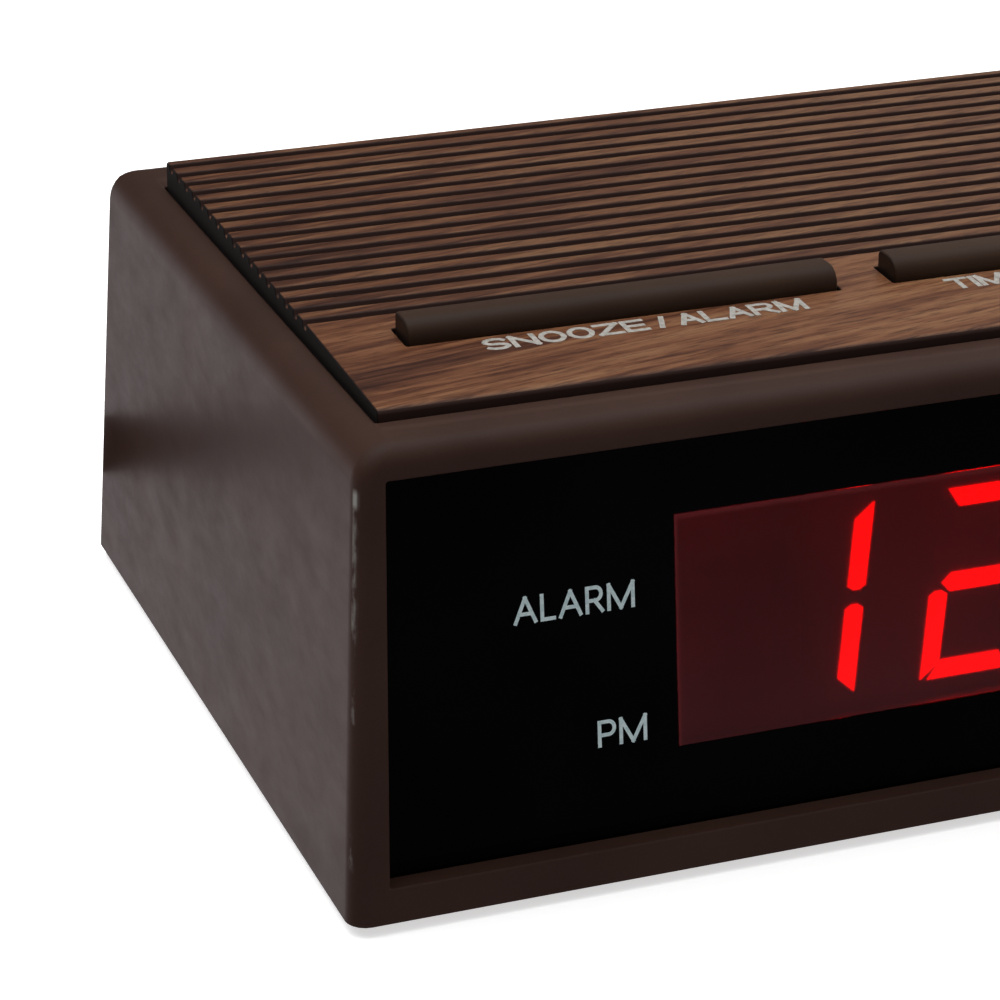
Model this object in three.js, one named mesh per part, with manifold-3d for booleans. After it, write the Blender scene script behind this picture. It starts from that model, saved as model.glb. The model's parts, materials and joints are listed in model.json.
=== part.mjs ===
// Mains LED alarm clock with a moulded brown cabinet, a ribbed woodgrain top panel, four top keys,
// a recessed black front panel with a red display window, and an alarm slide switch at the back.
// Millimetres, +Z up, +Y to the back. The origin is on the table, under the middle of the clock.
import * as THREE from "three";
import { mergeVertices } from "three/addons/utils/BufferGeometryUtils.js";
import Module from "manifold-3d";

const wasm = await Module();
wasm.setup();

// ---- Driving dimensions ----
const WIDTH = 168; // cabinet, at its bottom edge
const DEPTH = 107;
const CASE_HEIGHT = 52; // cabinet alone, without feet and without the proud top panel
const FOOT_HEIGHT = 1.2;
const SIDE_LEAN = THREE.MathUtils.degToRad(3.7);
const FRONT_LEAN = THREE.MathUtils.degToRad(6);
const REAR_LEAN = THREE.MathUtils.degToRad(1.5);
const FRONT_CORNER = 2.4; // upright corners, seen from above
const REAR_CORNER = 0.9;
const TOP_ROUND = { side: 4, front: 2.1, rear: 3.2 }; // between each wall and the top
const INNER_CORNERS = [1, 1];
const SHARPEST = 0.2; // smallest corner left where the rounds meet
const SIDE_WALL = 2;
const REAR_WALL = 2.2;
const BEZEL_DEPTH = 3; // front wall, which is the depth of the ledge round the front panel
const CEILING = 49.8; // underside of the cabinet's top
const POCKET_FLOOR = 51; // where the woodgrain panel lies
const FIT = 0.3; // gap between neighbouring mouldings
const SEAT = 0.1; // gap where one piece lies on another

// The display opening, measured up the leaning front face, and how far its ends are in from the sides.
const OPENING = { low: 4.1, high: 48.8, lowInset: 4.6, highInset: 6.3 };
const WINDOW = { left: -44.9, right: 44.9, low: 13.1, high: 39.7 };
const PANEL_THICKNESS = 2;

const TOP_PANEL = { side: 8, front: 13, rear: 95.1, frontHeight: 53.2 };
const FRONT_SLOPE = Math.tan(THREE.MathUtils.degToRad(2.2));
const RIBBED_SLOPE = Math.tan(THREE.MathUtils.degToRad(1.2));
const RIBS_START = 38.2; // middle of the front groove, from the front edge of the cabinet
const RIB_PITCH = 3.42;
const GROOVE_COUNT = 17;
const GROOVE = { top: 1.5, bottom: 0.9, depth: 0.9 };

const KEY_FRONT = 28.4;
const KEY_DEPTH = 4.6;
const KEY_TOP = 56.2;
const KEY_ROUND = { front: 2.1, rear: 0.7 };
const KEY_TRAVEL = 1.5;
const KEY_GAP = 7.1;
const SNOOZE_START = 16.7;
const SNOOZE_LENGTH = 51;
const KEY_BOARD = { top: 39.2, thickness: 1.2, halfLength: 78.4, front: -32.4, rear: -13.5 };
const SWITCH = { size: 7, height: 5, bore: 1.8, boreFloor: 0.8, plunger: 1.5 };

const BASE_THICKNESS = 2;
const MAIN_BOARD = { left: -72, right: 16, front: -24, rear: 16, bottom: 8, thickness: 1.6 };
const DISPLAY = { left: -29, right: 41, low: 12, high: 38.6, front: 6.2, depth: 6.6 };
const DISPLAY_BOARD = { left: -46, right: 46, low: 8, high: 41, thickness: 1.6 };
const DISPLAY_BOARD_FRONT = DISPLAY.front + DISPLAY.depth + SEAT;
const CORD_HOLE = { x: -60, z: 18, radius: 4 };
const ALARM_SWITCH = { x: 52, z: 26, travel: 4, slotHeight: 3.2, knobWidth: 4.2 };

// ---- Materials ----
const finish = (color, roughness, metalness) =>
  new THREE.MeshStandardMaterial({ color, roughness, metalness });
const plastic = (color, roughness) => finish(color, roughness, 0);
const metal = (color, roughness) => finish(color, roughness, 1);
const caseBrown = plastic(0x3b2a25, 0.45);
const keyBrown = plastic(0x33241f, 0.4);
const walnutFilm = plastic(0x6e4630, 0.3);
const pianoBlack = plastic(0x050506, 0.08);
const redFilter = plastic(0x3a0508, 0.1);
const blackPlastic = plastic(0x141414, 0.5);
const displayGrey = plastic(0x2a2022, 0.6);
const boardBrown = plastic(0x8a6a34, 0.6);
const ivoryPlastic = plastic(0xcfc6ad, 0.5);
const redLed = plastic(0x8f1014, 0.2);
const capacitorBlue = plastic(0x20305e, 0.35);
const rubber = plastic(0x161616, 0.85);
const foil = metal(0xb9b9b6, 0.4);
const steel = metal(0xa8a9ab, 0.35);
const brass = metal(0xb08d4c, 0.4);
const copper = plastic(0x7c3a1c, 0.5);
const laminations = metal(0x55565a, 0.55);

// ---- Solids: three.js geometry in, manifold-3d joins and cuts, three.js geometry out ----
function toSolid(geometry) {
  const bare = new THREE.BufferGeometry();
  bare.setAttribute("position", geometry.getAttribute("position"));
  if (geometry.index) bare.setIndex(geometry.index);
  const merged = mergeVertices(bare, 1e-4);
  return new wasm.Manifold(
    new wasm.Mesh({
      numProp: 3,
      vertProperties: new Float32Array(merged.attributes.position.array),
      triVerts: new Uint32Array(merged.index.array),
    }),
  );
}

function toGeometry(solid) {
  const mesh = solid.getMesh();
  const geometry = new THREE.BufferGeometry();
  geometry.setAttribute("position", new THREE.BufferAttribute(new Float32Array(mesh.vertProperties), 3));
  geometry.setIndex(new THREE.BufferAttribute(new Uint32Array(mesh.triVerts), 1));
  const flat = geometry.toNonIndexed();
  flat.computeVertexNormals();
  return flat;
}

const join = (...geometries) => toGeometry(geometries.map(toSolid).reduce((all, one) => all.add(one)));

const cut = (body, ...cutters) =>
  toGeometry(cutters.map(toSolid).reduce((left, one) => left.subtract(one), toSolid(body)));

// ---- Basic shapes ----
const boxBetween = (x0, x1, y0, y1, z0, z1) =>
  new THREE.BoxGeometry(x1 - x0, y1 - y0, z1 - z0).translate(
    (x0 + x1) / 2,
    (y0 + y1) / 2,
    (z0 + z1) / 2,
  );

const post = (x, y, z0, z1, radius, sides = 16) =>
  new THREE.CylinderGeometry(radius, radius, z1 - z0, sides)
    .rotateX(Math.PI / 2)
    .translate(x, y, (z0 + z1) / 2);

const turned = (profile, sides = 20) =>
  new THREE.LatheGeometry(profile.map(([r, z]) => new THREE.Vector2(r, z)), sides).rotateX(Math.PI / 2);

function extruded(points, depth) {
  const shape = new THREE.Shape(points.map(([x, y]) => new THREE.Vector2(x, y)));
  return new THREE.ExtrudeGeometry(shape, { depth, bevelEnabled: false });
}

// An outline in (x, up) given a thickness along +Y, for pieces that stand parallel to a wall.
const upright = (points, front, thickness) =>
  extruded(points, thickness).rotateX(Math.PI / 2).translate(0, front + thickness, 0);

// An outline in (y, z) swept along X.
const sweptX = (points, x0, x1) =>
  extruded(points, x1 - x0).rotateX(Math.PI / 2).rotateZ(Math.PI / 2).translate(x0, 0, 0);

// A closed skin over a stack of loops that all have the same number of points.
function lofted(loops) {
  const count = loops[0].length;
  const positions = loops.flat().flatMap((p) => [p.x, p.y, p.z]);
  const index = [];
  for (let level = 0; level + 1 < loops.length; level++) {
    for (let i = 0; i < count; i++) {
      const a = level * count + i;
      const b = level * count + ((i + 1) % count);
      index.push(a, b, b + count, a, b + count, a + count);
    }
  }
  const cap = (level, up) => {
    const outline = loops[level].map((p) => new THREE.Vector2(p.x, p.y));
    for (const [a, b, c] of THREE.ShapeUtils.triangulateShape(outline, [])) {
      const face = up ? [a, b, c] : [a, c, b];
      index.push(...face.map((i) => level * count + i));
    }
  };
  cap(0, false);
  cap(loops.length - 1, true);
  const geometry = new THREE.BufferGeometry();
  geometry.setAttribute("position", new THREE.Float32BufferAttribute(positions, 3));
  geometry.setIndex(index);
  return geometry;
}

// The cabinet's rectangle at height z, taken in by the given wall thicknesses, with round corners.
function caseLoop(z, [frontRadius, rearRadius], { side = 0, front = 0, rear = 0 } = {}, cornerSteps = 5) {
  const halfWidth = WIDTH / 2 - z * Math.tan(SIDE_LEAN) - side;
  const front0 = -DEPTH / 2 + z * Math.tan(FRONT_LEAN) + front;
  const rear0 = DEPTH / 2 - z * Math.tan(REAR_LEAN) - rear;
  const corners = [
    [halfWidth - rearRadius, rear0 - rearRadius, 0, rearRadius],
    [-halfWidth + rearRadius, rear0 - rearRadius, 1, rearRadius],
    [-halfWidth + frontRadius, front0 + frontRadius, 2, frontRadius],
    [halfWidth - frontRadius, front0 + frontRadius, 3, frontRadius],
  ];
  return corners.flatMap(([x, y, quarter, radius]) =>
    Array.from({ length: cornerSteps + 1 }, (_, i) => {
      const angle = ((quarter + i / cornerSteps) * Math.PI) / 2;
      return new THREE.Vector3(x + radius * Math.cos(angle), y + radius * Math.sin(angle), z);
    }),
  );
}

// ---- Leaning frames: local X across, local Z up the face, local Y towards the back ----
function leaningFrame(y, angle) {
  const frame = new THREE.Group();
  frame.position.set(0, y, 0);
  frame.rotation.x = angle;
  frame.updateMatrix();
  return frame;
}

const clock = new THREE.Group();
const inCase = new THREE.Group();
inCase.position.z = FOOT_HEIGHT;
clock.add(inCase);
const frontFrame = leaningFrame(-DEPTH / 2, -FRONT_LEAN);
const rearFrame = leaningFrame(DEPTH / 2, REAR_LEAN);
inCase.add(frontFrame, rearFrame);

function place(name, geometry, material, group = inCase) {
  const mesh = new THREE.Mesh(geometry, material);
  mesh.name = name;
  group.add(mesh);
  return mesh;
}

// ---- Keys: where each one lies ----
const shortKeyLength = (WIDTH - 2 * SNOOZE_START - SNOOZE_LENGTH - 3 * KEY_GAP) / 3;
const keyY = -DEPTH / 2 + KEY_FRONT + KEY_DEPTH / 2;
const snoozeMiddle = -WIDTH / 2 + SNOOZE_START + SNOOZE_LENGTH / 2;
const KEYS = [
  { name: "snooze_alarm", x: snoozeMiddle, length: SNOOZE_LENGTH, switchX: 0, springXs: [-20, 20] },
  ...["time", "fast", "slow"].map((name, i) => ({
    name,
    x: snoozeMiddle + SNOOZE_LENGTH / 2 + KEY_GAP + shortKeyLength / 2 + i * (shortKeyLength + KEY_GAP),
    length: shortKeyLength,
    switchX: 4.6,
    springXs: [-5.2],
  })),
];

// ---- Fixings ----
const BASE_SCREWS = [[-72, -38], [72, -38], [-72, 43], [72, 43]];
const BOSS = { radius: 3.2, hole: 1.5, depth: 14 };
const BOARD_BOSS = { xs: [-74.5, 74.5], radius: 2.8, hole: 1, depth: 6 };
const DISPLAY_CLIP_XS = [-49.5, 49.5];
const BOARD_SCREW = { length: 5, head: 2.4, shank: 0.85 };

// ---- Cabinet ----
function cabinet() {
  const roundSteps = 8;
  const arc = Array.from({ length: roundSteps + 1 }, (_, i) => {
    const z = CASE_HEIGHT - TOP_ROUND.side * (1 - Math.sin((i / roundSteps) * (Math.PI / 2)));
    const insets = {};
    for (const [wall, radius] of Object.entries(TOP_ROUND)) {
      const rise = Math.max(0, z - CASE_HEIGHT + radius);
      insets[wall] = radius - Math.sqrt(Math.max(0, radius ** 2 - rise ** 2));
    }
    const frontRadius = Math.max(SHARPEST, FRONT_CORNER - insets.front);
    const rearRadius = Math.max(SHARPEST, REAR_CORNER - insets.rear);
    return caseLoop(z, [frontRadius, rearRadius], insets);
  });
  const outside = lofted([caseLoop(0, [FRONT_CORNER, REAR_CORNER]), ...arc]);
  const walls = { side: SIDE_WALL, front: BEZEL_DEPTH, rear: REAR_WALL };
  const inside = lofted([caseLoop(-1, INNER_CORNERS, walls, 2), caseLoop(CEILING, INNER_CORNERS, walls, 2)]);

  const bosses = BASE_SCREWS.map(([x, y]) =>
    post(x, y, BASE_THICKNESS + SEAT, CEILING + 0.5, BOSS.radius),
  );
  const bossHoles = BASE_SCREWS.map(([x, y]) =>
    post(x, y, BASE_THICKNESS - 1, BASE_THICKNESS + BOSS.depth, BOSS.hole, 12),
  );
  const boardBosses = BOARD_BOSS.xs.map((x) =>
    post(x, keyY, KEY_BOARD.top + SEAT, CEILING + 0.5, BOARD_BOSS.radius, 12),
  );
  const boardBossHoles = BOARD_BOSS.xs.map((x) =>
    post(x, keyY, KEY_BOARD.top - 1, KEY_BOARD.top + BOARD_BOSS.depth, BOARD_BOSS.hole, 10),
  );
  const boardFront = DISPLAY_BOARD_FRONT - SEAT;
  const boardRear = DISPLAY_BOARD_FRONT + DISPLAY_BOARD.thickness + SEAT;
  const displayClips = DISPLAY_CLIP_XS.map((x) =>
    cut(
      boxBetween(x - 2.5, x + 2.5, boardFront - 2, boardRear + 1.5, 34, CEILING + 2.4),
      boxBetween(x - 3, x + 3, boardFront, boardRear, 20, DISPLAY_BOARD.high + FIT),
    ).applyMatrix4(frontFrame.matrix),
  );
  const shell = cut(outside, inside);
  const fitted = join(shell, ...bosses, ...boardBosses, ...displayClips);

  const pocket = boxBetween(
    -WIDTH / 2 + TOP_PANEL.side - FIT,
    WIDTH / 2 - TOP_PANEL.side + FIT,
    -DEPTH / 2 + TOP_PANEL.front - FIT,
    -DEPTH / 2 + TOP_PANEL.rear + FIT,
    POCKET_FLOOR,
    CASE_HEIGHT + 5,
  );
  const half = WIDTH / 2;
  const standsOut = 2;
  const opening = upright(
    [
      [-half + OPENING.lowInset, OPENING.low],
      [half - OPENING.lowInset, OPENING.low],
      [half - OPENING.highInset, OPENING.high],
      [-half + OPENING.highInset, OPENING.high],
    ],
    -standsOut,
    standsOut + BEZEL_DEPTH + SEAT / 2,
  ).applyMatrix4(frontFrame.matrix);
  const keySlots = KEYS.map((key) => keyOpening(key, CEILING - 1, CASE_HEIGHT));

  const cordHole = new THREE.CylinderGeometry(CORD_HOLE.radius, CORD_HOLE.radius, 12, 24)
    .translate(CORD_HOLE.x, 0, CORD_HOLE.z)
    .applyMatrix4(rearFrame.matrix);
  const slideSlot = boxBetween(
    ALARM_SWITCH.x - ALARM_SWITCH.knobWidth / 2 - FIT,
    ALARM_SWITCH.x + ALARM_SWITCH.knobWidth / 2 + ALARM_SWITCH.travel + FIT,
    -6,
    6,
    ALARM_SWITCH.z - ALARM_SWITCH.slotHeight / 2,
    ALARM_SWITCH.z + ALARM_SWITCH.slotHeight / 2,
  ).applyMatrix4(rearFrame.matrix);
  const rearVents = Array.from({ length: 9 }, (_, i) => {
    const x = -12 + i * 4.5;
    return boxBetween(x - 0.8, x + 0.8, -6, 6, 18, 36).applyMatrix4(rearFrame.matrix);
  });
  const screwHoles = [...bossHoles, ...boardBossHoles];
  return cut(fitted, ...screwHoles, pocket, opening, ...keySlots, cordHole, slideSlot, ...rearVents);
}

// ---- Base plate: floor of the case, with vents, sound holes, screw holes and standoffs ----
const MAIN_BOARD_POSTS = [[-68, -20], [12, -20], [-68, 12], [12, 12]];
const BUZZER = { x: -44, y: 33, radius: 13, height: 7 };
const TRANSFORMER = { x: 46, y: 16, screwXs: [-26, 26] };
const FEET = [[-57, -38], [57, -38], [-57, 36], [57, 36]];

function basePlate() {
  const walls = { side: SIDE_WALL + FIT, front: BEZEL_DEPTH + FIT, rear: REAR_WALL + FIT };
  const levels = [0, BASE_THICKNESS];
  const floor = lofted(levels.map((z) => caseLoop(z, INNER_CORNERS, walls, 2)));
  const standoffs = MAIN_BOARD_POSTS.map(([x, y]) =>
    post(x, y, BASE_THICKNESS - 0.5, MAIN_BOARD.bottom, 2.6, 12),
  );
  const pilotHoles = MAIN_BOARD_POSTS.map(([x, y]) => post(x, y, 3, MAIN_BOARD.bottom + 1, 1, 10));
  const strapHoles = TRANSFORMER.screwXs.map((dx) =>
    post(TRANSFORMER.x + dx, TRANSFORMER.y, -1, 4, 1, 10),
  );
  const screwHoles = BASE_SCREWS.flatMap(([x, y]) => [
    post(x, y, -1, 4, 1.8, 12),
    post(x, y, -1, 1.2, 3.4, 16),
  ]);
  const ring = [0, 1, 2, 3, 4, 5].map((i) => (i * Math.PI) / 3);
  const soundHoles = [[0, 0], ...ring.map((angle) => [5 * Math.cos(angle), 5 * Math.sin(angle)])];
  const sound = soundHoles.map(([dx, dy]) => post(BUZZER.x + dx, BUZZER.y + dy, -1, 4, 1.2, 8));
  const vents = Array.from({ length: 8 }, (_, i) => {
    const x = 30.25 + i * 4.5;
    return boxBetween(x - 0.8, x + 0.8, -18, -2, -1, 4);
  });
  return cut(join(floor, ...standoffs), ...pilotHoles, ...strapHoles, ...screwHoles, ...sound, ...vents);
}

// ---- Woodgrain top panel ----
const crestHeight = (y) => {
  const flat = Math.min(y, RIBS_START) - TOP_PANEL.front;
  const ribbed = Math.max(0, y - RIBS_START);
  return TOP_PANEL.frontHeight + flat * FRONT_SLOPE + ribbed * RIBBED_SLOPE;
};

function keyOpening(key, z0, z1) {
  return boxBetween(
    key.x - key.length / 2 - FIT,
    key.x + key.length / 2 + FIT,
    keyY - KEY_DEPTH / 2 - FIT,
    keyY + KEY_DEPTH / 2 + FIT,
    z0,
    z1,
  );
}

function woodgrainPanel() {
  const round = 0.35;
  const outline = [[TOP_PANEL.front, POCKET_FLOOR + SEAT]];
  outline.push([TOP_PANEL.front, crestHeight(TOP_PANEL.front) - round]);
  outline.push([TOP_PANEL.front + round, crestHeight(TOP_PANEL.front + round)]);
  for (let i = 0; i < GROOVE_COUNT; i++) {
    const middle = RIBS_START + i * RIB_PITCH;
    const edges = [-GROOVE.top, -GROOVE.bottom, GROOVE.bottom, GROOVE.top].map((w) => middle + w / 2);
    const depths = [0, GROOVE.depth, GROOVE.depth, 0];
    edges.forEach((y, k) => outline.push([y, crestHeight(y) - depths[k]]));
  }
  outline.push([TOP_PANEL.rear - round, crestHeight(TOP_PANEL.rear - round)]);
  outline.push([TOP_PANEL.rear, crestHeight(TOP_PANEL.rear) - round]);
  outline.push([TOP_PANEL.rear, POCKET_FLOOR + SEAT]);
  const half = WIDTH / 2 - TOP_PANEL.side;
  const slab = sweptX(outline.map(([y, z]) => [y - DEPTH / 2, z]).reverse(), -half, half);
  return cut(slab, ...KEYS.map((key) => keyOpening(key, POCKET_FLOOR - 1, KEY_TOP)));
}

// ---- Keys, switches and springs ----
const LIP_UNDERSIDE = 47.8; // the lip stops the key under the cabinet's top
const LIP_TOP = 49.2;
const PLUNGER_TOP = KEY_BOARD.top + SEAT + SWITCH.height + KEY_TRAVEL + 0.4;

function keyBar(key) {
  const front = keyY - KEY_DEPTH / 2;
  const rear = keyY + KEY_DEPTH / 2;
  const rounded = (y, z, radius, from) =>
    [0, 1, 2, 3, 4].map((i) => {
      const angle = from + (i * Math.PI) / 8;
      return [y + radius * Math.cos(angle), z + radius * Math.sin(angle)];
    });
  const profile = [
    [front, LIP_TOP - 1],
    [rear, LIP_TOP - 1],
    ...rounded(rear - KEY_ROUND.rear, KEY_TOP - KEY_ROUND.rear, KEY_ROUND.rear, 0),
    ...rounded(front + KEY_ROUND.front, KEY_TOP - KEY_ROUND.front, KEY_ROUND.front, Math.PI / 2),
  ];
  const x0 = key.x - key.length / 2;
  const x1 = key.x + key.length / 2;
  const bar = sweptX(profile, x0, x1);
  const lip = boxBetween(x0 - 1.2, x1 + 1.2, front - 1.5, rear + 1.5, LIP_UNDERSIDE, LIP_TOP);
  const into = LIP_UNDERSIDE + 0.2;
  const stem = post(key.x + key.switchX, keyY, PLUNGER_TOP + SEAT, into, 1.7, 12);
  const guides = key.springXs.map((dx) => post(key.x + dx, keyY, KEY_BOARD.top - 4, into, 1.2, 10));
  return join(bar, lip, stem, ...guides);
}

function switchBody(key) {
  const z0 = KEY_BOARD.top + SEAT;
  const half = SWITCH.size / 2;
  const x = key.x + key.switchX;
  const body = boxBetween(x - half, x + half, keyY - half, keyY + half, z0, z0 + SWITCH.height);
  return cut(body, post(x, keyY, z0 + SWITCH.boreFloor, z0 + SWITCH.height + 1, SWITCH.bore, 16));
}

function switchPlunger(key) {
  const z0 = KEY_BOARD.top + SEAT;
  const low = z0 + SWITCH.boreFloor + KEY_TRAVEL + 0.3;
  return post(key.x + key.switchX, keyY, low, PLUNGER_TOP, SWITCH.plunger, 14);
}

class Helix extends THREE.Curve {
  constructor(x, y, radius, low, high, turns) {
    super();
    Object.assign(this, { x, y, radius, low, high, turns });
  }
  getPoint(t, target = new THREE.Vector3()) {
    const angle = t * this.turns * 2 * Math.PI;
    const x = this.x + this.radius * Math.cos(angle);
    const y = this.y + this.radius * Math.sin(angle);
    return target.set(x, y, this.low + t * (this.high - this.low));
  }
}

function returnSpring(x) {
  const turns = 5;
  const wireRadius = 0.28;
  const path = new Helix(x, keyY, 2, KEY_BOARD.top + 0.5, LIP_UNDERSIDE - 0.5, turns);
  const section = [0, 1, 2, 3, 4].map((i) => {
    const angle = (i * 2 * Math.PI) / 5;
    return new THREE.Vector2(-wireRadius * Math.sin(angle), wireRadius * Math.cos(angle));
  });
  const wire = new THREE.Shape(section);
  return new THREE.ExtrudeGeometry(wire, { steps: turns * 8, extrudePath: path, bevelEnabled: false });
}

function keyBoard() {
  const { top, thickness, halfLength, front, rear } = KEY_BOARD;
  const plate = boxBetween(-halfLength, halfLength, front, rear, top - thickness, top);
  const guideHoles = KEYS.flatMap((key) =>
    key.springXs.map((dx) => post(key.x + dx, keyY, top - 3, top + 1, 1.6, 12)),
  );
  const screwHoles = BOARD_BOSS.xs.map((x) => post(x, keyY, top - 3, top + 1, 1.5, 12));
  return cut(plate, ...guideHoles, ...screwHoles);
}

// ---- Display ----
function frontPanel() {
  const half = WIDTH / 2;
  const lap = 0.6;
  const outline = [
    [-half + OPENING.lowInset - lap, OPENING.low - 1.3],
    [half - OPENING.lowInset + lap, OPENING.low - 1.3],
    [half - OPENING.highInset + lap, OPENING.high + lap],
    [-half + OPENING.highInset - lap, OPENING.high + lap],
  ];
  const front = BEZEL_DEPTH + FIT;
  const plate = upright(outline, front, PANEL_THICKNESS);
  const hole = boxBetween(WINDOW.left, WINDOW.right, 0, 10, WINDOW.low, WINDOW.high);
  return cut(plate, hole);
}

const redWindow = () =>
  boxBetween(
    WINDOW.left + SEAT,
    WINDOW.right - SEAT,
    BEZEL_DEPTH + FIT,
    BEZEL_DEPTH + FIT + PANEL_THICKNESS,
    WINDOW.low + SEAT,
    WINDOW.high - SEAT,
  );

function displayModule() {
  const { left, right, low, high, front, depth } = DISPLAY;
  const housing = boxBetween(left, right, front, front + depth, low, high);
  const pins = Array.from({ length: 14 }, (_, i) => {
    const x = left + 5 + i * 4.6;
    return boxBetween(x - 0.3, x + 0.3, front + depth - 0.5, front + depth + 4, low + 1, low + 1.6);
  });
  return join(housing, ...pins);
}

function displayBoard() {
  const { left, right, low, high, thickness } = DISPLAY_BOARD;
  const front = DISPLAY_BOARD_FRONT;
  const [clipLeft, clipRight] = DISPLAY_CLIP_XS;
  const wide = boxBetween(left, right, front, front + thickness, low, high);
  const ears = boxBetween(clipLeft - 2, clipRight + 2, front, front + thickness, 35, high);
  const pinLow = DISPLAY.low + 0.6;
  const pinSlot = boxBetween(DISPLAY.left + 3, DISPLAY.right - 3, 0, 40, pinLow, pinLow + 1.4);
  return cut(join(wide, ears), pinSlot);
}

function indicatorLed() {
  const back = DISPLAY_BOARD_FRONT - SEAT;
  const dome = [[0, 0], [1.9, 0], [1.9, 1], [1.5, 1], [1.5, 3.4], [1.1, 4.4], [0.5, 4.9], [0, 5]];
  return turned(dome, 14).rotateX(Math.PI / 2).translate(0, back, 0);
}

// ---- Electronics on the main board ----
const boardTop = MAIN_BOARD.bottom + MAIN_BOARD.thickness + 2 * SEAT;

function mainBoard() {
  const { left, right, front, rear, bottom, thickness } = MAIN_BOARD;
  const plate = boxBetween(left, right, front, rear, bottom + SEAT, bottom + SEAT + thickness);
  return cut(plate, ...MAIN_BOARD_POSTS.map(([x, y]) => post(x, y, bottom - 1, bottom + 4, 1.5, 12)));
}

function clockChip() {
  const body = boxBetween(-18, 18, -6.8, 6.8, 1, 5);
  const pins = [-1, 1].flatMap((side) =>
    Array.from({ length: 14 }, (_, i) => {
      const x = -16.51 + i * 2.54;
      return boxBetween(x - 0.3, x + 0.3, side > 0 ? 6.6 : -7.8, side > 0 ? 7.8 : -6.6, 0, 2.6);
    }),
  );
  const notch = post(-18, 0, 4.2, 6, 1.2, 12);
  return cut(join(body, ...pins), notch);
}

function capacitor(radius, height) {
  const bead = radius * 0.12;
  return turned([
    [0, 0],
    [radius - bead, 0],
    [radius, bead],
    [radius, 2 * bead],
    [radius - bead, 3 * bead],
    [radius, 4 * bead],
    [radius, height - bead],
    [radius - bead, height],
    [0, height],
  ]);
}

function diode() {
  const body = new THREE.CylinderGeometry(1.35, 1.35, 5, 12).rotateZ(Math.PI / 2).translate(0, 0, 3);
  const lead = new THREE.CylinderGeometry(0.4, 0.4, 11, 8).rotateZ(Math.PI / 2).translate(0, 0, 3);
  return join(body, lead, post(-5.2, 0, 0, 3.2, 0.4, 8), post(5.2, 0, 0, 3.2, 0.4, 8));
}

function transistor() {
  const round = new THREE.Shape();
  round.absarc(0, 0, 2.3, 0.25 * -Math.PI, 1.25 * Math.PI);
  const can = new THREE.ExtrudeGeometry(round, { depth: 4.6, bevelEnabled: false, curveSegments: 10 });
  const legs = [-1.27, 0, 1.27].map((x) => boxBetween(x - 0.25, x + 0.25, -0.25, 0.25, 0, 3.2));
  return join(can.translate(0, 0, 3), ...legs);
}

// ---- Transformer ----
const CORE = {
  halfWidth: 20,
  halfDepth: 8,
  low: BASE_THICKNESS + SEAT,
  high: 35.7,
  leg: 6.5,
  window: 8.5,
  yoke: 6.5,
};

function transformerCore() {
  const { halfWidth, halfDepth, low, high, leg, window, yoke } = CORE;
  const stack = boxBetween(-halfWidth, halfWidth, -halfDepth, halfDepth, low, high);
  const windows = [-1, 1].map((side) => {
    const inner = side * leg;
    const outer = side * (leg + window);
    return boxBetween(Math.min(inner, outer), Math.max(inner, outer), -20, 20, low + yoke, high - yoke);
  });
  return cut(stack, ...windows);
}

function transformerCoil() {
  const { halfDepth, low, high, leg, window, yoke } = CORE;
  const halfWidth = leg + window - FIT;
  const winding = halfDepth + 7;
  const z0 = low + yoke + FIT;
  const z1 = high - yoke - FIT;
  const outer = boxBetween(-halfWidth, halfWidth, -winding, winding, z0, z1);
  const legHole = boxBetween(-leg - FIT, leg + FIT, -halfDepth - FIT, halfDepth + FIT, 0, 50);
  return cut(outer, legHole);
}

function transformerStrap() {
  const { halfWidth, low: foot, high } = CORE;
  const sheet = 0.9;
  const inner = halfWidth + SEAT;
  const top = high + SEAT;
  const outline = [
    [-inner - 10, foot], [-inner, foot], [-inner, top], [inner, top], [inner, foot], [inner + 10, foot],
    [inner + 10, foot + sheet], [inner + sheet, foot + sheet], [inner + sheet, top + sheet],
    [-inner - sheet, top + sheet], [-inner - sheet, foot + sheet], [-inner - 10, foot + sheet],
  ];
  const bent = upright(outline, -5, 10);
  return cut(bent, ...TRANSFORMER.screwXs.map((x) => post(x, 0, 0, 6, 1.5, 12)));
}

// ---- Buzzer, ribbons, grommet, screws, feet ----
function buzzerHousing() {
  const { radius, height } = BUZZER;
  const wall = 1.4;
  return turned([
    [radius - wall, 0],
    [radius, 0],
    [radius, height - 1],
    [radius - 1, height],
    [0, height],
    [0, height - wall],
    [radius - wall, height - wall],
    [radius - wall, 0],
  ], 28);
}

const buzzerDisc = (radius = BUZZER.radius - 1.7) =>
  turned([[0, 0], [radius, 0], [radius, 0.5], [0, 0.5]], 28);

// A flat ribbon whose side outline follows a curve in the YZ plane.
function ribbon(points, x0, x1, thickness) {
  const path = new THREE.CatmullRomCurve3(points.map(([y, z]) => new THREE.Vector3(y, z, 0)));
  const steps = 16;
  const sides = [1, -1].map((side) =>
    Array.from({ length: steps + 1 }, (_, i) => {
      const at = path.getPointAt(i / steps);
      const along = path.getTangentAt(i / steps);
      return [at.x - (side * along.y * thickness) / 2, at.y + (side * along.x * thickness) / 2];
    }),
  );
  const outline = [...sides[0], ...sides[1].reverse()];
  const facing = THREE.ShapeUtils.area(outline.map(([y, z]) => new THREE.Vector2(y, z))) > 0;
  return sweptX(facing ? outline : outline.reverse(), x0, x1);
}

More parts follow.
